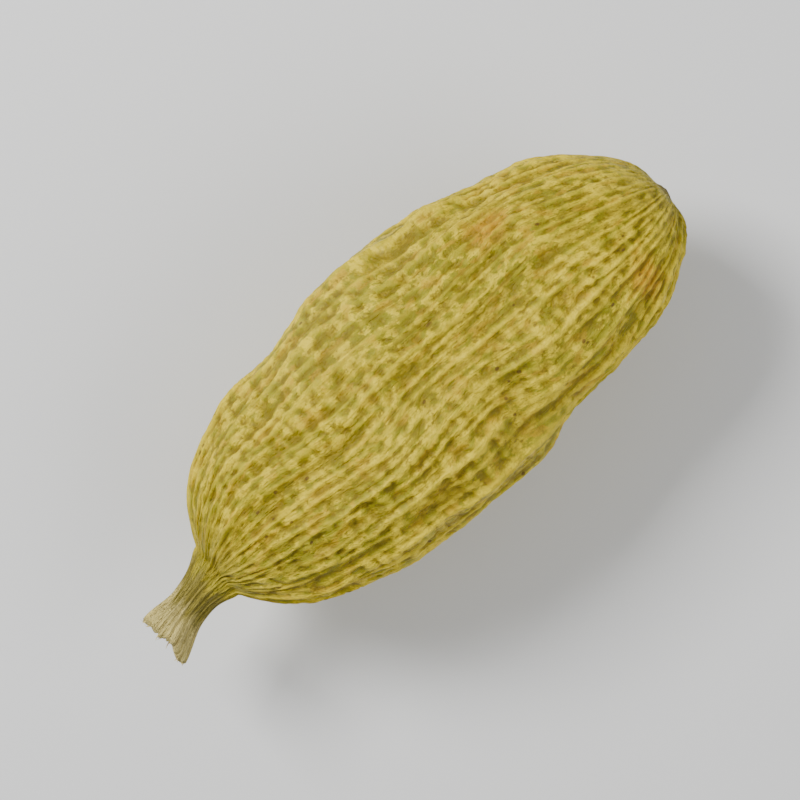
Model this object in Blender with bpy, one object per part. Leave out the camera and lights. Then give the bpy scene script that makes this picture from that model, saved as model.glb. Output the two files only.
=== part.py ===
"""A dried green cardamom pod lying on its side.

The long axis runs along X, with the stub of the stalk towards -X and the free end towards +X.
One of the three broad faces looks up. The origin is under the middle of the pod, on the floor.
The pod grew as one piece, so it is one solid: husk, neck, stub and free end together.

Angles round the pod count from +Y over the top, so that 90 degrees is up and 180 is -Y.
"""

import math

import bmesh
import bpy

MM = 0.001
FULL_TURN = 2.0 * math.pi

# The husk, measured from a point on its axis near the middle of its length
STALK_SHOULDER_X = -6.29 * MM  # where the husk would close if it had no neck
TIP_X = 6.60 * MM
WIDEST_X = -0.66 * MM
HALF_WIDTH = 2.90 * MM
HEIGHT_TO_WIDTH = 0.95
STALK_FLANK_POWER = 1.9  # how slowly the husk narrows from its widest place
STALK_END_POWER = 0.42  # under a half gives a blunt, full end
TIP_FLANK_POWER = 2.3
TIP_END_POWER = 0.5

# The section: three blunt corners, a face up, and a soft furrow down each face
FIRST_CORNER = math.radians(26.0)  # the upper face leans a little towards +Y
CORNER_SWELL = 0.055  # part of the radius
CORNER_RIDGE = 0.09 * MM
CORNER_RIDGE_REACH = math.radians(7.0)
FURROW_DEPTH = 0.13 * MM
FURROW_REACH = math.radians(13.0)
ROUND_BELOW = 0.6  # nearer the ends than this part of the full width the section turns round

# Ribs, the raised veins that run from the stalk to the tip
RIBS_PER_FACE = 7
RIBS = 3 * RIBS_PER_FACE
RIB_HEIGHT = 0.11 * MM
RIB_SHARPNESS = 1.5
RIB_STRENGTH = 0.62
RIB_SPREAD = 0.38  # how much the ribs differ from each other
CORNER_RIB_STRENGTH = 0.90
RIB_FADE = 0.22  # how much each rib swells and fades along the pod
RIB_SWAY = math.radians(2.4)
HUSK_TWIST = math.radians(2.5)  # from the middle to the tip

# Slow waves over the skin: size, radians a millimetre along, waves around, start in radians
SWAYS = (
    (RIB_SWAY, 0.75, 3.0, 0.0),
    (0.5 * RIB_SWAY, 1.6, -2.0, 1.0),
)
DENTS = (
    (0.055 * MM, 1.05, 2.0, 0.6),
    (0.030 * MM, 2.3, -3.0, 2.0),
    (0.030 * MM, 3.1, 5.0, 0.0),
)

# What makes the outline from above uneven: place along X and around, reach along and around,
# and height
KNEE = (-0.45 * MM, math.radians(12.0), 0.8 * MM, math.radians(28.0), 0.10 * MM)
LONG_FLAT = (-2.40 * MM, math.radians(8.0), 1.3 * MM, math.radians(34.0), -0.20 * MM)
SHORT_FLAT = (3.05 * MM, math.radians(6.0), 0.7 * MM, math.radians(36.0), -0.12 * MM)
WAIST = (2.15 * MM, math.radians(176.0), 1.1 * MM, math.radians(38.0), -0.36 * MM)
TIP_CHEEK = (4.80 * MM, math.radians(172.0), 1.0 * MM, math.radians(44.0), 0.18 * MM)
SIDE_FORMS = (KNEE, LONG_FLAT, SHORT_FLAT, WAIST, TIP_CHEEK)

# The bend of the axis: both ends lean towards -Y and rise from the floor
TIP_LEAN = 0.40 * MM
TIP_LEAN_START_X = 3.0 * MM
STALK_LEAN = 0.46 * MM
STALK_LEAN_START_X = -4.2 * MM
TIP_RISE = 0.35 * MM
STALK_RISE = 0.30 * MM

# The neck and the stub of the stalk, with its flared, lobed and hollow end
STUB_END_X = -8.12 * MM
NECK_RADIUS = 0.46 * MM
NECK_FILLET = 0.20 * MM
NECK_FILLET_REACH = 0.40 * MM
NECK_BLEND = 4.0  # higher is a tighter corner between neck and husk
FLARE_RADIUS = 0.66 * MM
FLARE_LENGTH = 0.85 * MM
LOBE_LENGTH = 0.08 * MM
STUB_RIM = 0.20 * MM
HOLLOW_DEPTH = 0.35 * MM

# The puckered spot at the free end
PUCKER_RADIUS = 0.60 * MM
PUCKER_DEPTH = 0.20 * MM
NUB_RADIUS = 0.24 * MM
NUB_HEIGHT = 0.14 * MM

# The flat spot that the pod rests on, this deep into its lowest corner
RESTING_DEPTH = 0.27 * MM

# How finely the surface is divided
COLUMNS_PER_RIB = 5
COLUMNS = RIBS * COLUMNS_PER_RIB
HUSK_ROWS = 42
STUB_ROWS = 6
STUB_EDGE = 0.08 * MM  # how far the rounding of the stub's rim reaches along it
LAST_TURN = math.radians(2.3)  # the last row stops this far from the pole of the tip


def bell(distance, reach):
    """A smooth bump, 1 in the middle and near 0 beyond twice the reach."""
    return math.exp(-((distance / reach) ** 2))


def ease(value):
    """0 to 1 with level ends."""
    value = min(1.0, max(0.0, value))
    return value * value * (3.0 - 2.0 * value)


def turn_between(angle, other):
    """The shorter way from one angle to another."""
    return math.remainder(angle - other, FULL_TURN)


def waves(table, x, angle):
    """The sum of slow waves that run over the skin."""
    return sum(
        size * math.sin(along * x / MM + around * angle + start)
        for size, along, around, start in table
    )


def husk_radius(x):
    """Half the width of the husk alone: blunt towards both ends, widest nearer the stalk."""
    if x > WIDEST_X:
        part = min(1.0, (x - WIDEST_X) / (TIP_X - WIDEST_X))
        return HALF_WIDTH * (1.0 - part**TIP_FLANK_POWER) ** TIP_END_POWER
    part = min(1.0, (WIDEST_X - x) / (WIDEST_X - STALK_SHOULDER_X))
    return HALF_WIDTH * (1.0 - part**STALK_FLANK_POWER) ** STALK_END_POWER


def stub_radius(x):
    """The neck, with a fillet where it meets the husk and a flare at the broken end."""
    fillet = NECK_FILLET * bell(x - STALK_SHOULDER_X, NECK_FILLET_REACH)
    flare = (FLARE_RADIUS - NECK_RADIUS) * ease(1.0 - (x - STUB_END_X) / FLARE_LENGTH)
    return NECK_RADIUS + fillet + flare


def pod_radius(x):
    """Husk and stub run into each other without a crease; past the shoulder the husk is gone."""
    if x > WIDEST_X:
        return husk_radius(x)
    return (husk_radius(x) ** NECK_BLEND + stub_radius(x) ** NECK_BLEND) ** (1.0 / NECK_BLEND)


def axis_y(x):
    """The axis leans towards -Y at both ends."""
    tip = max(0.0, (x - TIP_LEAN_START_X) / (TIP_X - TIP_LEAN_START_X))
    stalk = max(0.0, (STALK_LEAN_START_X - x) / (STALK_LEAN_START_X - STUB_END_X))
    return -TIP_LEAN * tip**2 - STALK_LEAN * stalk**2.5


def axis_z(x):
    """Both ends rise a little from the floor."""
    tip = max(0.0, x / TIP_X)
    stalk = max(0.0, x / STUB_END_X)
    return TIP_RISE * tip**2 + STALK_RISE * stalk**2


def rib_strength(rib, x):
    """Ribs differ, and each one swells and fades along the pod. Those on a corner are strong."""
    strength = RIB_STRENGTH + RIB_SPREAD * math.sin(2.4 * rib + 1.0)
    if rib % RIBS_PER_FACE == 0:
        strength = max(strength, CORNER_RIB_STRENGTH)
    return strength * (1.0 - RIB_FADE + RIB_FADE * math.sin(0.9 * x / MM + 1.7 * rib))


def rib_height(x, column):
    """Ribs lie a fixed number of columns apart, with a crest on every one of those columns."""
    rib = round(column / COLUMNS_PER_RIB)
    from_crest = FULL_TURN * (column / COLUMNS_PER_RIB - rib)
    profile = (0.5 + 0.5 * math.cos(from_crest)) ** RIB_SHARPNESS
    return RIB_HEIGHT * rib_strength(rib % RIBS, x) * profile


def relief(x, from_corner, column):
    """How far the skin stands out from the smooth husk at its widest place."""
    across = math.remainder(3.0 * from_corner, FULL_TURN) / 3.0
    corner = CORNER_RIDGE * bell(across, CORNER_RIDGE_REACH)
    furrow = FURROW_DEPTH * bell(math.pi / 3.0 - abs(across), FURROW_REACH)
    return rib_height(x, column) + corner - furrow + waves(DENTS, x, from_corner)


def side_shape(x, angle):
    """The flats, the knee, the waist and the cheek of the pod's outline."""
    return sum(
        height * bell(x - form_x, along) * bell(turn_between(angle, direction), around)
        for form_x, direction, along, around, height in SIDE_FORMS
    )


def pucker(radius):
    """How far the skin is drawn in round the free end, with a small nub in its middle."""
    return NUB_HEIGHT * bell(radius, NUB_RADIUS) - PUCKER_DEPTH * bell(radius, PUCKER_RADIUS)


def corner_angle(x, column):
    """The angle of a column from the first corner: columns sway with the ribs, and twist."""
    even = FULL_TURN * column / COLUMNS
    return even + HUSK_TWIST * x / TIP_X + waves(SWAYS, x, even)


def skin_point(x, column):
    """A point of the outer skin."""
    from_corner = corner_angle(x, column)
    angle = FIRST_CORNER + from_corner
    smooth = pod_radius(x)
    fullness = min(1.0, smooth / HALF_WIDTH)
    cornered = ease((smooth - NECK_RADIUS) / (ROUND_BELOW * HALF_WIDTH))
    radius = smooth * (1.0 + CORNER_SWELL * cornered * math.cos(3.0 * from_corner))
    radius += fullness**0.9 * relief(x, from_corner, column) + side_shape(x, angle)
    squash = 1.0 - (1.0 - HEIGHT_TO_WIDTH) * cornered
    y = axis_y(x) + radius * math.cos(angle)
    z = axis_z(x) + squash * radius * math.sin(angle)
    if x > WIDEST_X:
        x += pucker(radius)
    return [x, y, z]


def lobe(column):
    """How far the broken end of the stub stands out: two lobes, towards +Y and -Y."""
    angle = FIRST_CORNER + corner_angle(STUB_END_X, column)
    return LOBE_LENGTH * (math.cos(2.0 * angle) + 0.3 * math.cos(5.0 * angle))


def end_ring(radius, depth):
    """A ring on the stub's end face, or in its hollow, at this mean radius."""
    share = radius / stub_radius(STUB_END_X)
    ring = []
    for column in range(COLUMNS):
        x, y, z = skin_point(STUB_END_X, column)
        y = axis_y(x) + share * (y - axis_y(x))
        z = axis_z(x) + share * (z - axis_z(x))
        ring.append([x + depth - share * lobe(column), y, z])
    return ring


def stub_rings():
    """Rings from the floor of the hollow out over the rim and along the stub to the husk."""
    wall = FLARE_RADIUS - STUB_RIM
    rings = [
        end_ring(0.45 * wall, HOLLOW_DEPTH),
        end_ring(0.85 * wall, 0.75 * HOLLOW_DEPTH),
        end_ring(FLARE_RADIUS - 0.5 * STUB_RIM, 0.0),
    ]
    start = STUB_END_X + STUB_EDGE
    for row in range(STUB_ROWS):
        x = start + (STALK_SHOULDER_X - start) * row / STUB_ROWS
        lobed = 1.0 - ease((x - STUB_END_X) / FLARE_LENGTH)
        ring = [skin_point(x, column) for column in range(COLUMNS)]
        for column, point in enumerate(ring):
            point[0] -= lobed * lobe(column)
        rings.append(ring)
    return rings


def husk_rings():
    """Rings along the husk, closer together where it curves in at both ends."""
    rings = []
    middle = 0.5 * (STALK_SHOULDER_X + TIP_X)
    half_length = 0.5 * (TIP_X - STALK_SHOULDER_X)
    first_turn = math.pi / HUSK_ROWS
    for row in range(HUSK_ROWS):
        turn = first_turn + (math.pi - LAST_TURN - first_turn) * row / (HUSK_ROWS - 1)
        x = middle - half_length * math.cos(turn)
        rings.append([skin_point(x, column) for column in range(COLUMNS)])
    return rings


def middle_of(ring):
    """The mean of a ring's points, for the single point that closes it."""
    return [sum(point[axis] for point in ring) / len(ring) for axis in range(3)]


def set_on_floor(points):
    """Press the flat resting spot and put the origin under the middle of the box."""
    floor = min(point[2] for point in points) + RESTING_DEPTH
    for point in points:
        point[2] = max(point[2], floor)
    middle = [0.5 * (min(p[axis] for p in points) + max(p[axis] for p in points)) for axis in (0, 1)]
    for point in points:
        point[0] -= middle[0]
        point[1] -= middle[1]
        point[2] -= floor


def build_pod():
    """Join all rings from the hollow of the stub to the nub of the tip, and close both ends."""
    rings = stub_rings() + husk_rings()
    stub_floor = middle_of(rings[0])
    tip_top = middle_of(rings[-1])
    set_on_floor([point for ring in rings for point in ring] + [stub_floor, tip_top])

    shape = bmesh.new()
    loops = [[shape.verts.new(point) for point in ring] for ring in rings]
    first = shape.verts.new(stub_floor)
    last = shape.verts.new(tip_top)
    for column in range(COLUMNS):
        following = (column + 1) % COLUMNS
        shape.faces.new((first, loops[0][column], loops[0][following]))
        shape.faces.new((last, loops[-1][following], loops[-1][column]))
        for lower, upper in zip(loops, loops[1:]):
            shape.faces.new((lower[column], upper[column], upper[following], lower[following]))
    bmesh.ops.recalc_face_normals(shape, faces=shape.faces)
    bmesh.ops.triangulate(shape, faces=shape.faces, quad_method="SHORT_EDGE")
    mesh = bpy.data.meshes.new("pod")
    shape.to_mesh(mesh)
    shape.free()
    mesh.shade_smooth()
    pod = bpy.data.objects.new("pod", mesh)
    bpy.context.scene.collection.objects.link(pod)
    return pod


def husk_material():
    """Dry papery husk, yellow-green and matt."""
    material = bpy.data.materials.new("husk")
    material.use_nodes = True
    shader = material.node_tree.nodes["Principled BSDF"]
    shader.inputs["Base Color"].default_value = (0.40, 0.32, 0.055, 1.0)
    shader.inputs["Roughness"].default_value = 0.62
    shader.inputs["Metallic"].default_value = 0.0
    return material


def main():
    for old in list(bpy.data.objects):
        bpy.data.objects.remove(old, do_unlink=True)
    pod = build_pod()
    pod.data.materials.append(husk_material())


main()
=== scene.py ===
"""The looks of a dried green cardamom pod, seen from straight above on a pale floor.

The skin repeats the form of the solid it stands for, much finer: the same husk, neck, stub, ribs
and dents, with veins, crinkles, a ragged broken stalk and a fibrous hollow added. Lengths in the
shape functions are millimetres. Angles round the pod count from +Y over the top, so that 90
degrees is up and 180 is -Y. A row is a ring of points round the pod, and a column a line along it.
"""

import math

import bpy
import numpy as np
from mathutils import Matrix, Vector, noise


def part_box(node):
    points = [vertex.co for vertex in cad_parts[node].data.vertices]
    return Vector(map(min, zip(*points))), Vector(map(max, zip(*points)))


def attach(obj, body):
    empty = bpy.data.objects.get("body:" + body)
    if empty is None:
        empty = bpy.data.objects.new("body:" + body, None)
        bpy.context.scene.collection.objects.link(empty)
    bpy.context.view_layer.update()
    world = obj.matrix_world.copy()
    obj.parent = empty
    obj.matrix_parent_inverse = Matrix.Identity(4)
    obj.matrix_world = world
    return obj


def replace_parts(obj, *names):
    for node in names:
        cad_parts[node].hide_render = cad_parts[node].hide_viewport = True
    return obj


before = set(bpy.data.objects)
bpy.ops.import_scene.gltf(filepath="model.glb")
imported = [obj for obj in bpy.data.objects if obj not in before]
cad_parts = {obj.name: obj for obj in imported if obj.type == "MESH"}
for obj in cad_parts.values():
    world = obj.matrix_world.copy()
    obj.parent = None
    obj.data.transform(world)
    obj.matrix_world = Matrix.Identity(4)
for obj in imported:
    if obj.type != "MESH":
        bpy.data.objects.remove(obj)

MM = 0.001
FULL_TURN = 2.0 * math.pi
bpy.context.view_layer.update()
POD_LOW, POD_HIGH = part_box("pod")

# The husk, measured from a point on its axis near the middle of its length
STALK_SHOULDER_X = -6.29
TIP_X = 6.60
WIDEST_X = -0.66
HALF_WIDTH = 2.90
HEIGHT_TO_WIDTH = 0.95
STALK_FLANK_POWER = 1.9
STALK_END_POWER = 0.42
TIP_FLANK_POWER = 2.3
TIP_END_POWER = 0.5

# The section: three blunt corners, a face up, and a soft furrow down each face
FIRST_CORNER = math.radians(26.0)
CORNER_SWELL = 0.055
CORNER_RIDGE = 0.09
CORNER_RIDGE_REACH = math.radians(7.0)
FURROW_DEPTH = 0.13
FURROW_REACH = math.radians(13.0)
ROUND_BELOW = 0.6

# Ribs
RIBS_PER_FACE = 7
RIBS = 3 * RIBS_PER_FACE
RIB_HEIGHT = 0.11
RIB_SHARPNESS = 1.5
RIB_STRENGTH = 0.62
RIB_SPREAD = 0.38
CORNER_RIB_STRENGTH = 0.90
RIB_FADE = 0.22
RIB_STEP = 2.4
RIB_START = 1.0
RIB_FADE_ALONG = 0.9
RIB_FADE_STEP = 1.7
RIB_SWAY = math.radians(2.4)
HUSK_TWIST = math.radians(2.5)

# Slow waves over the skin: size, radians a millimetre along, waves around, start in radians
SWAYS = (
    (RIB_SWAY, 0.75, 3.0, 0.0),
    (0.5 * RIB_SWAY, 1.6, -2.0, 1.0),
)
DENTS = (
    (0.055, 1.05, 2.0, 0.6),
    (0.030, 2.3, -3.0, 2.0),
    (0.030, 3.1, 5.0, 0.0),
)

# The uneven outline: place along X and around, reach along and around, and height
SIDE_FORMS = (
    (-0.45, math.radians(12.0), 0.8, math.radians(28.0), 0.10),
    (-2.40, math.radians(8.0), 1.3, math.radians(34.0), -0.20),
    (3.05, math.radians(6.0), 0.7, math.radians(36.0), -0.12),
    (2.15, math.radians(176.0), 1.1, math.radians(38.0), -0.36),
    (4.80, math.radians(172.0), 1.0, math.radians(44.0), 0.18),
)

# The bend of the axis
TIP_LEAN = 0.40
TIP_LEAN_START_X = 3.0
STALK_LEAN = 0.46
STALK_LEAN_START_X = -4.2
TIP_RISE = 0.35
STALK_RISE = 0.30

# The neck, the stub and its hollow end
STUB_END_X = -8.12
NECK_RADIUS = 0.46
NECK_FILLET = 0.20
NECK_FILLET_REACH = 0.40
NECK_BLEND = 4.0
FLARE_RADIUS = 0.66
FLARE_LENGTH = 0.85
LOBE_LENGTH = 0.08
STUB_RIM = 0.20
HOLLOW_DEPTH = 0.35

# The puckered spot at the free end, and the flat resting spot
PUCKER_RADIUS = 0.60
PUCKER_DEPTH = 0.20
NUB_RADIUS = 0.24
NUB_HEIGHT = 0.14
RESTING_DEPTH = 0.27

# What only the looks have: veins, fibres and crinkles of the papery skin, and the torn stalk
VEINS_PER_RIB = 3
VEINS = VEINS_PER_RIB * RIBS
VEIN_HEIGHT = 0.062
SIDE_VEIN_HEIGHT = 0.048
VEIN_WIDTH = 0.22
VEIN_STRENGTH = 0.62
SIDE_VEIN_START = 0.5
SIDE_VEIN_REACH = 1.1
FIBRE_HEIGHT = 0.026
CRINKLE_DEPTH = 0.075
SMALL_CRINKLES = 0.6
LEAST_CRINKLES = 0.22
VEINS_SMOOTH = 0.8
PORE_DEPTH = 0.022
SKIN_LEVEL = 0.006
FINE_LEAST = 0.25
FINE_FULL_RADIUS = 0.35 * HALF_WIDTH
FINE_END_RADIUS = 0.15
RELIEF_POWER = 0.9
NUB_LUMPS = 0.035
NUB_LUMPS_REACH = 1.6 * NUB_RADIUS
STALK_FIBRES = 26
STALK_FIBRE_HEIGHT = 0.022
STALK_FIBRE_WANDER = 1.2
STALK_FIBRE_START = 0.1
STALK_FIBRE_REACH = 0.5
STALK_ROUGHNESS = 0.6
RAGGED_RIM = 0.10
RAGGED_RIM_PLACE = 3.0
PITH_LUMPS = 0.05

# Waves of the veins, as above but counted by the vein and not around the pod
VEIN_WANDER = (
    (0.17, 0.9, 2.1, 0.0),
    (0.10, 2.3, 4.7, 0.0),
    (0.05, 5.1, 1.3, 0.0),
)
VEIN_VARIETY = (
    (0.26, 1.1, 3.7, 0.0),
    (0.20, 2.9, 1.9, 0.0),
)

# How fine each noise is, along the pod and twice across it
WARP_SCALE = (0.8, 0.8, 0.8)
FIBRE_SCALE = (0.42, 3.3, 3.3)
CRINKLE_SCALE = (2.1, 1.2, 1.2)
SMALL_CRINKLE_SCALE = (3.7, 2.3, 2.3)
PATCH_SCALE = (0.45, 0.8, 0.8)
PORE_SCALE = (6.0, 6.0, 6.0)
STALK_WANDER_SCALE = (0.5, 1.3, 1.3)
STALK_ROUGH_SCALE = (1.2, 6.0, 6.0)
LUMP_SCALE = (5.0, 5.0, 5.0)
RAGGED_SCALE = (1.0, 2.4, 2.4)
BORDER_SCALE = (0.6, 1.6, 1.6)

# The torn strands. A row is a middle value, its spread, and radians from one strand to the next
STRANDS = 26
STRAND_RADIUS = 0.028
STRAND_TAPER = 0.8
STRAND_INSET = 0.10
STRAND_SIDES = 5
STRAND_RINGS = 6
STRAND_PLACE = (0.0, 0.4, 5.0)
STRAND_ROOT = (0.86, 0.08, 4.1)
STRAND_REACH = (0.20, 0.08, 2.3)
STRAND_SPREAD = (0.10, 0.06, 3.1)
STRAND_SWERVE = (0.0, 0.16, 1.7)

# How finely the skin is divided
COLUMNS_PER_RIB = 18
COLUMNS = RIBS * COLUMNS_PER_RIB
HUSK_ROWS = 224
STUB_ROWS = 25
HOLLOW_ROWS = 9
ARC_SAMPLES = 4000
STUB_EDGE = 0.05
TIP_GAP = 0.0004
EDGE_SHARE = 0.018
TIP_GRAIN = 2.2
HOLLOW_START = 0.12
MAP_MARGIN = 0.004

# Rows on the rim of the hollow: share of the rim's width, and depth
RIM_ROWS = ((0.35, -0.012), (0.75, -0.004))

# Where the colours change: reaches of the blurs in points, heights, and places along the pod
RIDGE_REACH = 4
RIDGE_FULL = 0.028
# The valley reach and height and the dip share set where painted shade darkens valleys and dips
VALLEY_REACH = 11
VALLEY_FULL = 0.10
DIP_SHARE = 0.7
TIP_SKIN_X = 5.0
TIP_SKIN_REACH = 1.5
STALK_SKIN_X = -5.2
STALK_SKIN_X_REACH = 1.0
SCAR_RADIUS = 0.26
BORDER_WANDER = 0.35
NECK_COLOUR_X = STALK_SHOULDER_X - 0.15
NECK_COLOUR_REACH = 0.35
PALE_COLOUR_X = STALK_SHOULDER_X - 0.85
PALE_COLOUR_REACH = 0.45

# The camera looks straight down, turned so that the pod lies as in the photograph
POD_SLOPE = math.radians(41.7)
LENS = 120.0
SENSOR = 36.0
VIEW_WIDTH = 17.5 * MM


def bell(distance, reach):
    return np.exp(-((distance / reach) ** 2))


def ease(value):
    value = np.clip(value, 0.0, 1.0)
    return value * value * (3.0 - 2.0 * value)


def turn_between(angle, other):
    return (angle - other + math.pi) % FULL_TURN - math.pi


def waves(table, x, angle):
    return sum(size * np.sin(a * x + b * angle + start) for size, a, b, start in table)


def noise_at(points, scale, octaves=1):
    """Smooth noise from -1 to 1 at an array of points; scale is three factors on the point."""
    flat = (points * np.asarray(scale)).reshape(-1, 3)
    total = np.zeros(len(flat))
    for octave in range(octaves):
        step = 2.0**octave
        layer = np.fromiter((noise.noise(Vector(p * step)) for p in flat), float, len(flat))
        total += layer / step
    return total.reshape(points.shape[:-1])


def husk_radius(x):
    tip = np.clip((x - WIDEST_X) / (TIP_X - WIDEST_X), 0.0, 1.0)
    stalk = np.clip((WIDEST_X - x) / (WIDEST_X - STALK_SHOULDER_X), 0.0, 1.0)
    towards_tip = (1.0 - tip**TIP_FLANK_POWER) ** TIP_END_POWER
    towards_stalk = (1.0 - stalk**STALK_FLANK_POWER) ** STALK_END_POWER
    return HALF_WIDTH * towards_tip * towards_stalk


def stub_radius(x):
    fillet = NECK_FILLET * bell(x - STALK_SHOULDER_X, NECK_FILLET_REACH)
    flare = (FLARE_RADIUS - NECK_RADIUS) * ease(1.0 - (x - STUB_END_X) / FLARE_LENGTH)
    return NECK_RADIUS + fillet + flare


def pod_radius(x):
    husk = husk_radius(x)
    joined = (husk**NECK_BLEND + stub_radius(x) ** NECK_BLEND) ** (1.0 / NECK_BLEND)
    return np.where(x > WIDEST_X, husk, joined)


def axis_y(x):
    tip = np.maximum(0.0, (x - TIP_LEAN_START_X) / (TIP_X - TIP_LEAN_START_X))
    stalk = np.maximum(0.0, (STALK_LEAN_START_X - x) / (STALK_LEAN_START_X - STUB_END_X))
    return -TIP_LEAN * tip**2 - STALK_LEAN * stalk**2.5


def axis_z(x):
    tip = np.maximum(0.0, x / TIP_X)
    stalk = np.maximum(0.0, x / STUB_END_X)
    return TIP_RISE * tip**2 + STALK_RISE * stalk**2


def rib_strength(rib, x):
    strength = RIB_STRENGTH + RIB_SPREAD * np.sin(RIB_STEP * rib + RIB_START)
    on_corner = rib % RIBS_PER_FACE == 0
    strength = np.where(on_corner, np.maximum(strength, CORNER_RIB_STRENGTH), strength)
    fade = np.sin(RIB_FADE_ALONG * x + RIB_FADE_STEP * rib)
    return strength * (1.0 - RIB_FADE + RIB_FADE * fade)


def crest(column):
    """1 on the crest of a rib and 0 in the valley between two."""
    from_crest = FULL_TURN * column / COLUMNS_PER_RIB
    return (0.5 + 0.5 * np.cos(from_crest)) ** RIB_SHARPNESS


def rib_height(x, column):
    rib = np.round(column / COLUMNS_PER_RIB) % RIBS
    return RIB_HEIGHT * rib_strength(rib, x) * crest(column)


def relief(x, from_corner, column):
    across = ((3.0 * from_corner + math.pi) % FULL_TURN - math.pi) / 3.0
    corner = CORNER_RIDGE * bell(across, CORNER_RIDGE_REACH)
    furrow = FURROW_DEPTH * bell(math.pi / 3.0 - np.abs(across), FURROW_REACH)
    return rib_height(x, column) + corner - furrow + waves(DENTS, x, from_corner)


def side_shape(x, angle):
    return sum(
        height * bell(x - form_x, along) * bell(turn_between(angle, direction), around)
        for form_x, direction, along, around, height in SIDE_FORMS
    )


def pucker(radius):
    return NUB_HEIGHT * bell(radius, NUB_RADIUS) - PUCKER_DEPTH * bell(radius, PUCKER_RADIUS)


def corner_angle(x, column):
    even = FULL_TURN * column / COLUMNS
    return even + HUSK_TWIST * x / TIP_X + waves(SWAYS, x, even)


def veins(x, column):
    """Narrow veins, one on each rib and two beside it: how far each point is up one, and how high."""
    spacing = COLUMNS_PER_RIB / VEINS_PER_RIB
    nearest = np.round(column / spacing)
    ridge = np.zeros(x.shape)
    height = np.zeros(x.shape)
    side_height = SIDE_VEIN_HEIGHT * ease((pod_radius(x) - SIDE_VEIN_START) / SIDE_VEIN_REACH)
    for step in (-1, 0, 1):
        vein = nearest + step
        own = vein % VEINS
        strength = np.clip(VEIN_STRENGTH + waves(VEIN_VARIETY, x, own), 0.0, 1.0)
        from_vein = column / spacing - vein - waves(VEIN_WANDER, x, own)
        profile = strength * bell(from_vein, VEIN_WIDTH)
        on_rib = own % VEINS_PER_RIB == 0
        ridge = np.maximum(ridge, profile)
        height = np.maximum(height, profile * np.where(on_rib, VEIN_HEIGHT, side_height))
    return ridge, height


def ridged(points, scale, octaves=1):
    """Noise with narrow crests, from 0 to 1."""
    return (1.0 - np.minimum(1.0, 1.6 * np.abs(noise_at(points, scale, octaves)))) ** 2


def fine_relief(x, column, grain):
    """Veins and fibres along the pod, crinkles across them, pores, and the fibres of the stalk."""
    stalk = ease((STALK_SHOULDER_X - x + STALK_FIBRE_START) / STALK_FIBRE_REACH)
    ridge, vein_height = veins(x, column)
    warp = 0.45 * noise_at(grain + 7.0, WARP_SCALE)
    bent = grain + warp[..., None]
    crinkle = ridged(bent + 3.0, CRINKLE_SCALE, 2)
    crinkle += SMALL_CRINKLES * ridged(grain, SMALL_CRINKLE_SCALE)
    patchy = ease(0.5 + 0.9 * noise_at(grain, PATCH_SCALE))
    crinkle *= (LEAST_CRINKLES + (1.0 - LEAST_CRINKLES) * patchy) * (1.0 - VEINS_SMOOTH * ridge)
    fibre = ridged(bent, FIBRE_SCALE)
    pores = noise_at(grain, PORE_SCALE)
    papery = SKIN_LEVEL + vein_height + FIBRE_HEIGHT * fibre + PORE_DEPTH * pores
    papery -= CRINKLE_DEPTH * crinkle
    wander = STALK_FIBRE_WANDER * noise_at(grain, STALK_WANDER_SCALE)
    fibrous = np.cos(STALK_FIBRES * FULL_TURN * column / COLUMNS + wander)
    fibrous += STALK_ROUGHNESS * noise_at(grain, STALK_ROUGH_SCALE)
    return (1.0 - stalk) * papery + stalk * STALK_FIBRE_HEIGHT * fibrous


def grain_of(x, column):
    """Coordinates that follow the ribs: along the pod, and round a cylinder that ends at the tip."""
    even = FULL_TURN * column / COLUMNS
    share = TIP_GRAIN * np.maximum(pod_radius(x), 0.0) / HALF_WIDTH
    radius = np.where(x > WIDEST_X, np.sqrt(1.0 - np.exp(-(share**2))), 1.0) * HALF_WIDTH
    return np.stack([x, radius * np.cos(even), radius * np.sin(even)], axis=-1)


def skin(x, column, detailed=True):
    """Points of the outer skin, with the values along it that its material reads."""
    from_corner = corner_angle(x, column)
    angle = FIRST_CORNER + from_corner
    smooth = pod_radius(x)
    fullness = np.minimum(1.0, smooth / HALF_WIDTH)
    cornered = ease((smooth - NECK_RADIUS) / (ROUND_BELOW * HALF_WIDTH))
    radius = smooth * (1.0 + CORNER_SWELL * cornered * np.cos(3.0 * from_corner))
    grain = grain_of(x, column)
    fine = fine_relief(x, column, grain) if detailed else 0.0
    fine = fine * np.minimum(1.0, FINE_LEAST + smooth / FINE_FULL_RADIUS)
    fine = fine * np.minimum(1.0, smooth / FINE_END_RADIUS)
    height = fullness**RELIEF_POWER * relief(x, from_corner, column) + fine
    radius = radius + height + side_shape(x, angle)
    squash = 1.0 - (1.0 - HEIGHT_TO_WIDTH) * cornered
    y = axis_y(x) + radius * np.cos(angle)
    z = axis_z(x) + squash * radius * np.sin(angle)
    lumps = NUB_LUMPS * noise_at(grain + 11.0, LUMP_SCALE, 2) * bell(radius, NUB_LUMPS_REACH)
    x = np.where(x > WIDEST_X, x + pucker(radius) + lumps, x)
    return {
        "points": np.stack([x, y, z], axis=-1),
        "height": height,
        "grain": grain,
        "angle": angle,
    }


def lobe(column):
    """How far the broken end stands out: two lobes, and a ragged edge."""
    angle = FIRST_CORNER + corner_angle(STUB_END_X, column)
    grain = grain_of(np.full(column.shape, RAGGED_RIM_PLACE), column)
    edge = noise_at(grain, RAGGED_SCALE, 2)
    return LOBE_LENGTH * (np.cos(2.0 * angle) + 0.3 * np.cos(5.0 * angle)) + RAGGED_RIM * edge


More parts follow.
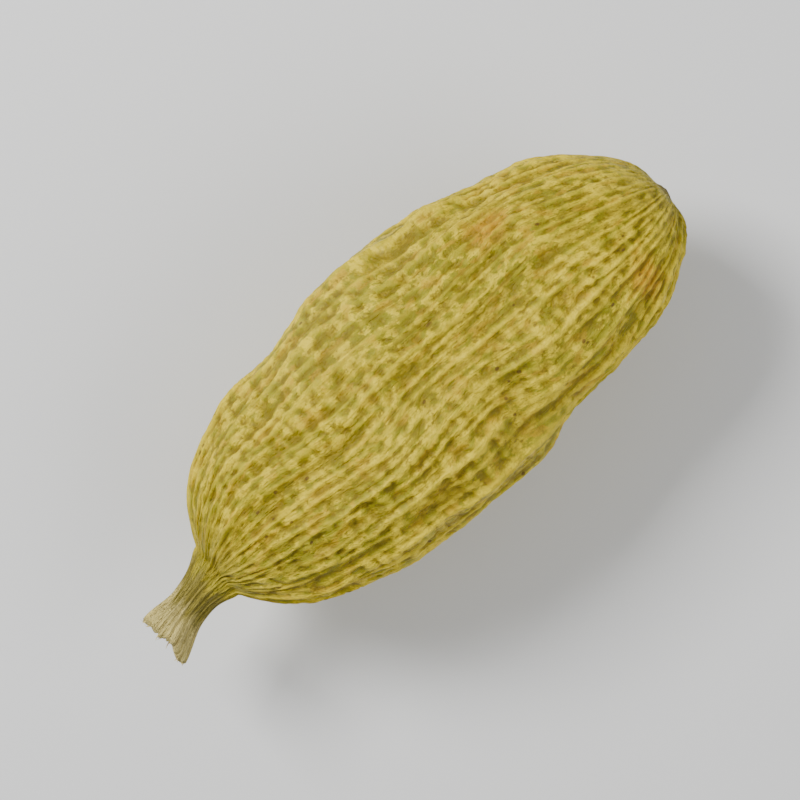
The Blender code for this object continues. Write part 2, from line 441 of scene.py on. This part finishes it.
def rows_of_pod():
    """The stations of all rows outside the hollow: even steps over the surface, rim to tip."""
    start = STUB_END_X + STUB_EDGE
    stub = start + (STALK_SHOULDER_X - start) * np.arange(STUB_ROWS) / STUB_ROWS
    turns = np.linspace(0.0, math.pi, ARC_SAMPLES)
    middle = 0.5 * (STALK_SHOULDER_X + TIP_X)
    half_length = 0.5 * (TIP_X - STALK_SHOULDER_X)
    stations = middle - half_length * np.cos(turns)
    steps = np.hypot(np.diff(stations), np.diff(pod_radius(stations)))
    travelled = np.concatenate([[0.0], np.cumsum(steps)])
    even = np.linspace(0.0, travelled[-1], HUSK_ROWS + 1)
    husk = np.interp(even, travelled, stations)
    husk[-1] = TIP_X - TIP_GAP
    return np.concatenate([stub, husk])


def hollow_rows():
    """Rows from the floor of the stub's hollow to its rim: mean radius and depth of each."""
    wall = FLARE_RADIUS - STUB_RIM
    outward = np.linspace(HOLLOW_START, 1.0, HOLLOW_ROWS - len(RIM_ROWS))
    rim_shares, rim_depths = np.array(RIM_ROWS).T
    radii = np.concatenate([wall * outward, wall + rim_shares * STUB_RIM])
    depths = np.concatenate([HOLLOW_DEPTH * (1.0 - outward**4), rim_depths])
    return radii, depths


def build_points():
    """All points of the pod in rows, with the values that its material reads."""
    columns = np.arange(COLUMNS, dtype=float)
    x, column = np.meshgrid(rows_of_pod(), columns, indexing="ij")
    outside = skin(x, column)
    lobed = 1.0 - ease((x - STUB_END_X) / FLARE_LENGTH)
    outside["points"][..., 0] -= lobed * lobe(columns)

    radii, depths = hollow_rows()
    rim = skin(np.full((1, COLUMNS), STUB_END_X), columns[None, :])["points"]
    middle = np.array([STUB_END_X, axis_y(STUB_END_X), axis_z(STUB_END_X)])
    share = (radii / FLARE_RADIUS)[:, None, None]
    inside = middle + share * (rim - middle)
    inside[..., 0] = STUB_END_X + depths[:, None] - share[..., 0] * lobe(columns)
    pith = PITH_LUMPS * noise_at(inside, LUMP_SCALE, 2)
    inside[..., 0] += pith * (1.0 - share[..., 0])

    hollow_grain = grain_of(*np.meshgrid(STUB_END_X - radii, columns, indexing="ij"))
    flat = np.zeros(inside.shape[:2])
    return {
        "points": np.concatenate([inside, outside["points"]]),
        "plain": skin(x, column, detailed=False)["points"],
        "height": np.concatenate([flat, outside["height"]]),
        "grain": np.concatenate([hollow_grain, outside["grain"]]),
        "hollow": np.concatenate([flat + depths[:, None] / HOLLOW_DEPTH, np.zeros(x.shape)]),
        "station": np.concatenate([flat + STUB_END_X, x]),
        "angle": np.concatenate([flat, outside["angle"]]),
    }


def soft_limit(share):
    """Ease what comes near 1 so that nothing passes it."""
    over = np.maximum(share - 1.0 + EDGE_SHARE, 0.0)
    return share - over + EDGE_SHARE * (1.0 - np.exp(-over / EDGE_SHARE))


class Placing:
    """Presses the resting spot and fits the skin to the box of the solid it stands for."""

    def __init__(self, points, plain):
        self.low = plain.min(axis=(0, 1))
        self.high = plain.max(axis=(0, 1))
        self.low[0] = points[..., 0].min()
        self.high[0] = points[..., 0].max()
        self.low[2] += RESTING_DEPTH
        share = self.share(points)
        self.least = share.min(axis=(0, 1))
        self.most = share.max(axis=(0, 1))

    def share(self, points):
        share = (points - self.low) / (self.high - self.low)
        x = np.clip(share[..., 0], 0.0, 1.0)
        y = 1.0 - soft_limit(1.0 - soft_limit(share[..., 1]))
        z = soft_limit(np.maximum(share[..., 2], 0.0))
        return np.stack([x, y, z], axis=-1)

    def __call__(self, points):
        share = (self.share(points) - self.least) / (self.most - self.least)
        size = np.array(POD_HIGH) - np.array(POD_LOW)
        return np.array(POD_LOW) + np.clip(share, 0.0, 1.0) * size


def blurred(grid, reach):
    """A box blur that wraps round the pod and stops at its ends."""
    total = sum(np.roll(grid, shift, axis=1) for shift in range(-reach, reach + 1))
    grid = total / (2 * reach + 1)
    padded = np.pad(grid, ((reach, reach), (0, 0)), mode="edge")
    rows = len(grid)
    total = sum(padded[shift : shift + rows] for shift in range(2 * reach + 1))
    return total / (2 * reach + 1)


# Orange-tan blotches of the skin: place along and around, reach along and around, strength
BLOTCHES = (
    (2.95, math.radians(54.0), 0.70, math.radians(11.0), 0.85),
    (4.80, math.radians(130.0), 0.45, math.radians(17.0), 1.0),
    (-2.40, math.radians(137.0), 1.10, math.radians(8.0), 0.28),
    (-4.60, math.radians(70.0), 0.60, math.radians(14.0), 0.30),
    (0.60, math.radians(250.0), 1.40, math.radians(16.0), 0.7),
    (-3.20, math.radians(310.0), 0.90, math.radians(20.0), 0.8),
    (4.10, math.radians(290.0), 0.80, math.radians(18.0), 0.6),
)


def blotches(x, angle):
    total = np.zeros(x.shape)
    for spot_x, direction, along, around, strength in BLOTCHES:
        spot = bell(x - spot_x, along) * bell(turn_between(angle, direction), around)
        total = np.maximum(total, strength * spot)
    return total


def build_mesh(name, points):
    """A closed mesh from rows of points, with one point closing each end."""
    rows, around = points.shape[:2]
    row, column = np.meshgrid(np.arange(rows - 1), np.arange(around), indexing="ij")
    following = (column + 1) % around
    quads = [row * around + column, (row + 1) * around + column]
    quads += [(row + 1) * around + following, row * around + following]
    quads = np.stack(quads, axis=-1).reshape(-1, 4)
    edge = np.arange(around)
    after = (edge + 1) % around
    start_point = np.full(around, rows * around)
    last_row = (rows - 1) * around
    start_fan = np.stack([start_point, edge, after], axis=-1)
    end_fan = np.stack([start_point + 1, last_row + after, last_row + edge], axis=-1)
    faces = quads.tolist() + start_fan.tolist() + end_fan.tolist()
    ends = [points[0].mean(axis=0), points[-1].mean(axis=0)]
    mesh = bpy.data.meshes.new(name)
    mesh.from_pydata(np.concatenate([points.reshape(-1, 3), ends]).tolist(), [], faces)
    mesh.shade_smooth()
    return mesh


def give_map(mesh, points):
    """One sheet wrapped round the pod, on which its pattern can be stored: turn and length."""
    rows, around = points.shape[:2]
    steps = np.linalg.norm(np.diff(points, axis=0), axis=-1).mean(axis=1)
    length = np.concatenate([[0.0], np.cumsum(steps)])
    up = MAP_MARGIN + (1.0 - 2.0 * MAP_MARGIN) * length / length[-1]
    row, column = np.meshgrid(np.arange(rows - 1), np.arange(around), indexing="ij")
    across = np.stack([column, column, column + 1, column + 1], axis=-1) / around
    height = np.stack([up[row], up[row + 1], up[row + 1], up[row]], axis=-1)
    quads = np.stack([across, height], axis=-1).reshape(-1, 2)
    edge = np.arange(around)
    start_across = np.stack([edge + 0.5, edge, edge + 1], axis=-1) / around
    start_height = np.broadcast_to([0.0, up[0], up[0]], (around, 3))
    end_across = np.stack([edge + 0.5, edge + 1, edge], axis=-1) / around
    end_height = np.broadcast_to([1.0, up[-1], up[-1]], (around, 3))
    start_fan = np.stack([start_across, start_height], axis=-1).reshape(-1, 2)
    end_fan = np.stack([end_across, end_height], axis=-1).reshape(-1, 2)
    sheet = mesh.uv_layers.new(name="OFBake")
    sheet.data.foreach_set("uv", np.concatenate([quads, start_fan, end_fan]).ravel())


def give_attribute(mesh, name, grid):
    """Store a value, or a vector, at every point of the mesh; the two end points take their row's."""
    is_vector = grid.ndim == 3
    values = grid.reshape(-1, 3) if is_vector else grid.reshape(-1)
    values = np.concatenate([values, [grid[0].mean(axis=0), grid[-1].mean(axis=0)]])
    kind = "FLOAT_VECTOR" if is_vector else "FLOAT"
    attribute = mesh.attributes.new(name, kind, "POINT")
    attribute.data.foreach_set("vector" if is_vector else "value", values.ravel())


# The colour sockets of the mix node, whose other kinds of socket have the same names
MIX_FIRST = 6
MIX_SECOND = 7
MIX_RESULT = 2


class MaterialMaker:
    """Short calls for the nodes of one material."""

    def __init__(self, name):
        self.material = bpy.data.materials.new(name)
        self.material.use_nodes = True
        self.tree = self.material.node_tree
        self.shader = self.tree.nodes["Principled BSDF"]

    def node(self, kind, inputs=(), **settings):
        made = self.tree.nodes.new(kind)
        for key, value in settings.items():
            setattr(made, key, value)
        for key, value in dict(inputs).items():
            self.put(made.inputs[key], value)
        return made

    def put(self, socket, value):
        if isinstance(value, bpy.types.NodeSocket):
            self.tree.links.new(value, socket)
        else:
            socket.default_value = value

    def settings(self, table):
        """Values that are the same all over."""
        for key, value in table.items():
            self.shader.inputs[key].default_value = value

    def value(self, name):
        return self.node("ShaderNodeAttribute", attribute_name=name).outputs["Fac"]

    def vector(self, name):
        return self.node("ShaderNodeAttribute", attribute_name=name).outputs["Vector"]

    def stretched(self, vector, scale):
        mapping = self.node("ShaderNodeMapping", {"Vector": vector, "Scale": scale})
        return mapping.outputs["Vector"]

    def noise(self, vector, detail=3.0, roughness=0.5, distortion=0.0):
        inputs = {"Vector": vector, "Scale": 1.0, "Detail": detail}
        inputs.update({"Roughness": roughness, "Distortion": distortion})
        return self.node("ShaderNodeTexNoise", inputs).outputs["Fac"]

    def ramp(self, value, low, high, to_low=0.0, to_high=1.0):
        inputs = {"Value": value, "From Min": low, "From Max": high}
        inputs.update({"To Min": to_low, "To Max": to_high})
        made = self.node("ShaderNodeMapRange", inputs, interpolation_type="SMOOTHSTEP")
        return made.outputs["Result"]

    def math(self, operation, first, second):
        made = self.node("ShaderNodeMath", operation=operation)
        self.put(made.inputs[0], first)
        self.put(made.inputs[1], second)
        return made.outputs["Value"]

    def mix(self, share, first, second):
        made = self.node("ShaderNodeMix", data_type="RGBA")
        self.put(made.inputs["Factor"], share)
        self.put(made.inputs[MIX_FIRST], first)
        self.put(made.inputs[MIX_SECOND], second)
        return made.outputs[MIX_RESULT]

    def bump(self, height, distance, normal=None):
        inputs = {"Height": height, "Distance": distance, "Strength": 1.0}
        if normal is not None:
            inputs["Normal"] = normal
        return self.node("ShaderNodeBump", inputs).outputs["Normal"]


STRAW = (0.60, 0.445, 0.009, 1.0)
LEAF = (0.29, 0.262, 0.006, 1.0)
TAN = (0.54, 0.325, 0.009, 1.0)
PALE = (0.82, 0.63, 0.024, 1.0)
# Dark olive for streaks and specks, and also the painted shade of valleys and dips
DARK_MARKS_AND_SHADE = (0.21, 0.145, 0.005, 1.0)
BLUSH = (0.60, 0.300, 0.006, 1.0)
FRECKLE = (0.10, 0.045, 0.008, 1.0)
END_SKIN = (0.54, 0.45, 0.045, 1.0)
SCAR = (0.10, 0.050, 0.012, 1.0)
NECK = (0.25, 0.200, 0.018, 1.0)
NECK_PALE = (0.48, 0.39, 0.080, 1.0)
STALK_PALE = (0.80, 0.66, 0.215, 1.0)
STALK_DARK = (0.28, 0.19, 0.060, 1.0)
FLOOR = (0.80, 0.80, 0.79, 1.0)
ROOM = (0.93, 0.95, 1.0, 1.0)
ROOM_STRENGTH = 0.36

# What is the same all over in each material
SKIN_SHINE = {
    "Specular IOR Level": 0.22,
    "Sheen Weight": 0.10,
    "Sheen Roughness": 0.28,
    "Sheen Tint": (1.0, 0.94, 0.76, 1.0),
}
STRAND_SHINE = {"Roughness": 0.65, "Specular IOR Level": 0.28}
FLOOR_SHINE = {"Base Color": FLOOR, "Roughness": 0.9, "Specular IOR Level": 0.1}

# The finest bumps of the skin: how fine, detail and roughness of the noise, and depth
BUMPS = (
    ((4.5, 7.5, 7.5), 2.0, 0.55, 0.085 * MM),
    ((2.6, 24.0, 24.0), 3.0, 0.6, 0.034 * MM),
    ((15.0, 17.0, 17.0), 3.0, 0.6, 0.026 * MM),
)
STRAND_GRAIN = (3000.0, 16000.0, 16000.0)
STRAND_BUMP = 0.006 * MM

# Freckles of two sizes: how fine, where the edge of a spot starts and ends, and strength
FRECKLES = ((1.3, 0.105, 0.07, 0.85), (2.9, 0.14, 0.09, 0.75))

# Lamps: name, direction from the pod, distance, size, and power in watts
LAMPS = (
    ("key", (-0.30, 1.0, 1.12), 90.0 * MM, 34.0 * MM, 0.098),
    ("fill", (0.6, -1.0, 0.9), 110.0 * MM, 90.0 * MM, 0.062),
)
FLOOR_HALF = 400.0 * MM
FLOOR_DROP = 0.002 * MM


def blotch_share(m, grain):
    """How much of the orange-tan shows: torn patches with soft edges."""
    torn = m.noise(m.stretched(grain, (2.0, 6.0, 6.0)), 4.0, 0.65)
    torn = m.math("MULTIPLY", m.math("SUBTRACT", torn, 0.5), 1.8)
    share = m.ramp(m.math("ADD", m.value("blotch"), torn), 0.15, 0.95)
    return m.math("MULTIPLY", share, m.ramp(m.value("blotch"), 0.02, 0.75))


def skin_colour(m, grain, mottle, streak):
    """Straw and leaf green in patches, pale ridges, valleys and dips darkened with painted shade, and
    small tan marks.
    """
    broad = m.noise(m.stretched(grain, (0.22, 0.5, 0.5)), 3.0, 0.55, 0.6)
    colour = m.mix(m.ramp(broad, 0.38, 0.66), STRAW, LEAF)
    colour = m.mix(m.ramp(mottle, 0.50, 0.56, 0.0, 0.92), colour, LEAF)
    colour = m.mix(m.ramp(mottle, 0.50, 0.43, 0.0, 0.88), colour, PALE)
    tan = m.noise(m.stretched(grain, (1.9, 3.4, 3.4)), 3.0, 0.6)
    colour = m.mix(m.ramp(tan, 0.54, 0.64, 0.0, 0.75), colour, TAN)
    colour = m.mix(blotch_share(m, grain), colour, BLUSH)
    colour = m.mix(m.ramp(streak, 0.52, 0.64, 0.0, 0.60), colour, DARK_MARKS_AND_SHADE)
    speck = m.noise(m.stretched(grain, (5.5, 7.5, 7.5)), 2.0, 0.6)
    colour = m.mix(m.ramp(speck, 0.57, 0.65, 0.0, 0.70), colour, DARK_MARKS_AND_SHADE)
    ridge = m.math("MULTIPLY", m.value("ridge"), m.ramp(broad, 0.70, 0.35, 0.30, 0.65))
    colour = m.mix(ridge, colour, PALE)
    # Painted shade: the valleys and dips of the relief are darkened with the dark olive colour
    return m.mix(m.math("MULTIPLY", m.value("cavity_shade"), 0.75), colour, DARK_MARKS_AND_SHADE)


def freckled(m, grain, colour):
    """Brown freckles of two sizes, in a few places."""
    places = m.noise(m.stretched(grain, (0.9, 0.9, 0.9)), 1.0)
    for scale, low, high, strength in FRECKLES:
        cells = m.node(
            "ShaderNodeTexVoronoi",
            {"Vector": m.stretched(grain, (0.8 * scale, scale, scale)), "Scale": 1.0},
        )
        spot = m.ramp(cells.outputs["Distance"], low, high)
        spot = m.math("MULTIPLY", spot, m.ramp(places, 0.52, 0.60))
        colour = m.mix(m.math("MULTIPLY", spot, strength), colour, FRECKLE)
    return colour


def stalk_colour(m, grain):
    """An olive neck that turns into a pale fibrous end, with painted shade darkening its hollow
    towards the floor.
    """
    fibre = m.noise(m.stretched(grain, (0.9, 7.0, 7.0)), 3.0, 0.6)
    neck = m.mix(m.ramp(fibre, 0.42, 0.66), NECK, NECK_PALE)
    pale = m.mix(m.ramp(fibre, 0.50, 0.70), STALK_PALE, STALK_DARK)
    # Painted shade: the hollow grows darker with depth
    pale = m.mix(m.value("hollow"), pale, STALK_DARK)
    return m.mix(m.value("flare"), neck, pale)


def husk_material():
    """Dry papery skin with a faint satin gloss on its ridges."""
    m = MaterialMaker("husk_skin")
    grain = m.vector("grain")
    mottle = m.noise(m.stretched(grain, (2.4, 3.2, 3.2)), 4.0, 0.62)
    streak = m.noise(m.stretched(grain, (0.5, 6.5, 6.5)), 4.0, 0.6)
    colour = freckled(m, grain, skin_colour(m, grain, mottle, streak))
    bare = m.math("MULTIPLY", m.value("ends"), m.ramp(mottle, 0.60, 0.42, 0.10, 0.55))
    colour = m.mix(bare, colour, END_SKIN)
    colour = m.mix(m.math("MULTIPLY", m.value("scar"), 0.85), colour, SCAR)
    colour = m.mix(m.value("stalk"), colour, stalk_colour(m, grain))
    bump = None
    for scale, detail, roughness, depth in BUMPS:
        bump = m.bump(m.noise(m.stretched(grain, scale), detail, roughness), depth, bump)
    m.put(m.shader.inputs["Base Color"], colour)
    m.put(m.shader.inputs["Roughness"], m.ramp(streak, 0.3, 0.7, 0.44, 0.62))
    m.put(m.shader.inputs["Normal"], bump)
    m.settings(SKIN_SHINE)
    return m.material


def strand_material():
    """Dry plant fibre, paler towards its torn end."""
    m = MaterialMaker("stalk_strands")
    place = m.node("ShaderNodeTexCoord").outputs["Object"]
    fibre = m.noise(m.stretched(place, STRAND_GRAIN), 3.0, 0.6)
    colour = m.mix(m.ramp(fibre, 0.42, 0.66), STALK_PALE, STALK_DARK)
    m.put(m.shader.inputs["Base Color"], colour)
    m.put(m.shader.inputs["Normal"], m.bump(fibre, STRAND_BUMP))
    m.settings(STRAND_SHINE)
    return m.material


def add_piece(name, mesh, material):
    mesh.materials.append(material)
    piece = bpy.data.objects.new(name, mesh)
    bpy.context.scene.collection.objects.link(piece)
    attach(piece, "root")
    return piece


def build_pod(grids, placing):
    points = placing(grids["points"])
    mesh = build_mesh("pod_skin", points)
    give_map(mesh, points)
    x = grids["station"]
    height = grids["height"]
    above = (height - blurred(height, RIDGE_REACH)) / RIDGE_FULL
    valley = (blurred(height, VALLEY_REACH) - height) / VALLEY_FULL
    border_x = x - BORDER_WANDER * noise_at(grids["grain"], BORDER_SCALE, 2)
    ends = ease((x - TIP_SKIN_X) / TIP_SKIN_REACH)
    ends = ends + ease((STALK_SKIN_X - x) / STALK_SKIN_X_REACH)
    give_attribute(mesh, "grain", grids["grain"])
    give_attribute(mesh, "ridge", np.clip(above, 0.0, 1.0))
    # Painted shade: how far the skin lies below its surroundings, for darkening valleys and dips
    give_attribute(mesh, "cavity_shade", np.clip(np.maximum(valley, -DIP_SHARE * above), 0.0, 1.0))
    # Depth into the stalk's hollow, which the colour darkens as painted shade
    give_attribute(mesh, "hollow", np.clip(grids["hollow"], 0.0, 1.0))
    give_attribute(mesh, "blotch", blotches(x, grids["angle"]))
    give_attribute(mesh, "ends", np.clip(ends, 0.0, 1.0))
    give_attribute(mesh, "scar", bell(pod_radius(x), SCAR_RADIUS) * (x > WIDEST_X))
    give_attribute(mesh, "stalk", ease((NECK_COLOUR_X - border_x) / NECK_COLOUR_REACH))
    give_attribute(mesh, "flare", ease((PALE_COLOUR_X - border_x) / PALE_COLOUR_REACH))
    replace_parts(add_piece("pod_skin", mesh, husk_material()), "pod")


def varied(row, number):
    """A value that changes from strand to strand."""
    middle, spread, step = row
    return middle + spread * np.sin(step * number)


def build_strands(placing):
    """Torn fibres that stand out of the stalk's broken edge."""
    number = np.arange(STRANDS, dtype=float)
    column = COLUMNS * (number + varied(STRAND_PLACE, number)) / STRANDS
    rim = skin(np.full((1, STRANDS), STUB_END_X), column[None, :])["points"][0]
    middle = np.array([STUB_END_X, axis_y(STUB_END_X), axis_z(STUB_END_X)])
    outward = rim - middle
    sideways = np.cross(outward, [1.0, 0.0, 0.0])
    root = middle + varied(STRAND_ROOT, number)[:, None] * outward
    root[:, 0] += STRAND_INSET - lobe(column)
    bend = varied(STRAND_SPREAD, number)[:, None] * outward
    bend += varied(STRAND_SWERVE, number)[:, None] * sideways
    points = []
    for step in np.linspace(0.0, 1.0, STRAND_RINGS):
        centre = root + step**2 * bend
        centre[:, 0] -= varied(STRAND_REACH, number) * step
        for side in range(STRAND_SIDES):
            turn = FULL_TURN * side / STRAND_SIDES
            around = np.array([0.0, math.cos(turn), math.sin(turn)])
            points.append(centre + STRAND_RADIUS * (1.0 - STRAND_TAPER * step) * around)
    points = np.stack(points, axis=1).reshape(STRANDS, STRAND_RINGS, STRAND_SIDES, 3)
    faces = []
    for strand in range(STRANDS):
        first = strand * STRAND_RINGS * STRAND_SIDES
        for ring in range(STRAND_RINGS - 1):
            for side in range(STRAND_SIDES):
                here = first + ring * STRAND_SIDES + side
                beside = first + ring * STRAND_SIDES + (side + 1) % STRAND_SIDES
                faces.append((here, here + STRAND_SIDES, beside + STRAND_SIDES, beside))
        last = first + (STRAND_RINGS - 1) * STRAND_SIDES
        faces.append(tuple(range(first, first + STRAND_SIDES)))
        faces.append(tuple(range(last + STRAND_SIDES - 1, last - 1, -1)))
    mesh = bpy.data.meshes.new("stalk_strands")
    mesh.from_pydata(placing(points.reshape(-1, 3)).tolist(), [], faces)
    mesh.shade_smooth()
    add_piece("stalk_strands", mesh, strand_material())


def floor_material():
    m = MaterialMaker("pale_floor")
    m.settings(FLOOR_SHINE)
    return m.material


def build_floor():
    mesh = bpy.data.meshes.new("floor")
    corners = [(FLOOR_HALF * x, FLOOR_HALF * y, 0.0) for x, y in ((-1, -1), (1, -1), (1, 1), (-1, 1))]
    mesh.from_pydata(corners, [], [(0, 1, 2, 3)])
    mesh.materials.append(floor_material())
    floor = bpy.data.objects.new("floor", mesh)
    floor.location.z = -FLOOR_DROP
    bpy.context.scene.collection.objects.link(floor)


def soft_light(name, direction, distance, size, power):
    """A square lamp that looks at the pod from a direction."""
    data = bpy.data.lights.new(name, "AREA")
    data.size = size
    data.energy = power
    lamp = bpy.data.objects.new(name, data)
    towards = Vector(direction).normalized()
    lamp.location = towards * distance
    lamp.rotation_euler = (-towards).to_track_quat("-Z", "Y").to_euler()
    bpy.context.scene.collection.objects.link(lamp)


def light_scene():
    """A large soft key from the picture's upper left, a weak fill, and a pale room."""
    for lamp in LAMPS:
        soft_light(*lamp)
    world = bpy.data.worlds.new("room")
    bpy.context.scene.world = world
    world.use_nodes = True
    background = world.node_tree.nodes["Background"]
    background.inputs["Color"].default_value = ROOM
    background.inputs["Strength"].default_value = ROOM_STRENGTH


def place_camera():
    data = bpy.data.cameras.new("camera")
    data.lens = LENS
    data.sensor_width = SENSOR
    data.clip_start = 1.0 * MM
    data.clip_end = 10.0
    camera = bpy.data.objects.new("camera", data)
    height = VIEW_WIDTH * LENS / SENSOR
    camera.location = (0.0, 0.0, 0.5 * POD_HIGH.z + height)
    camera.rotation_euler = (0.0, 0.0, -POD_SLOPE)
    bpy.context.scene.collection.objects.link(camera)
    bpy.context.scene.camera = camera


grids = build_points()
placing = Placing(grids["points"], grids["plain"])
build_pod(grids, placing)
build_strands(placing)
build_floor()
light_scene()
place_camera()
